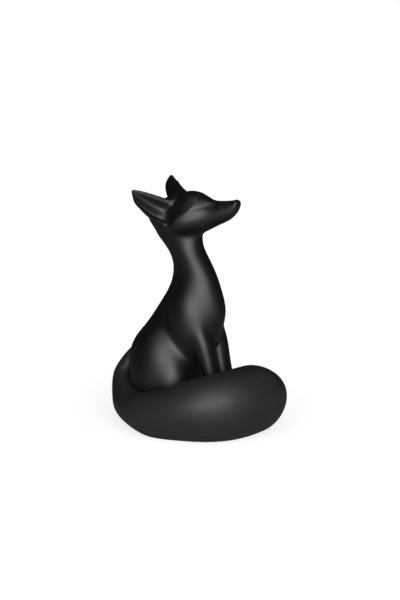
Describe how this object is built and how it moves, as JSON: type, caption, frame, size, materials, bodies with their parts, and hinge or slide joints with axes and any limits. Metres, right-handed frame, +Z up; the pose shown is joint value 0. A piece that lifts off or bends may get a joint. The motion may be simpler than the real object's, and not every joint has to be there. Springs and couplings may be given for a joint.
{
  "type": "fox figurine",
  "caption": "Seated fox ornament cast in matte black, eyes closed, ears spread back, tail wrapped round its side and over its paws.",
  "frame": {"origin": "middle of the footprint's bounding box, on the table", "axes": "+X the way the fox faces, +Y its left side, +Z up"},
  "size_m": [0.1868, 0.13, 0.247],
  "materials": {
    "cast_black": "satin black painted casting resin",
    "steel": "plain bright pin",
    "felt": "dark pressed felt"
  },
  "bodies": {
    "root": {"torso": "cast_black", "head": "cast_black", "right_ear": "cast_black", "left_ear": "cast_black", "right_foreleg": "cast_black", "left_foreleg": "cast_black", "tail": "cast_black", "neck_dowel": "steel", "right_ear_dowel": "steel", "left_ear_dowel": "steel", "right_foreleg_dowel": "steel", "left_foreleg_dowel": "steel", "tail_root_dowel": "steel", "tail_flank_dowel": "steel", "rear_pad": "felt", "left_paw_pad": "felt", "tail_side_pad": "felt", "tail_tip_pad": "felt"}
  },
  "joints": []
}
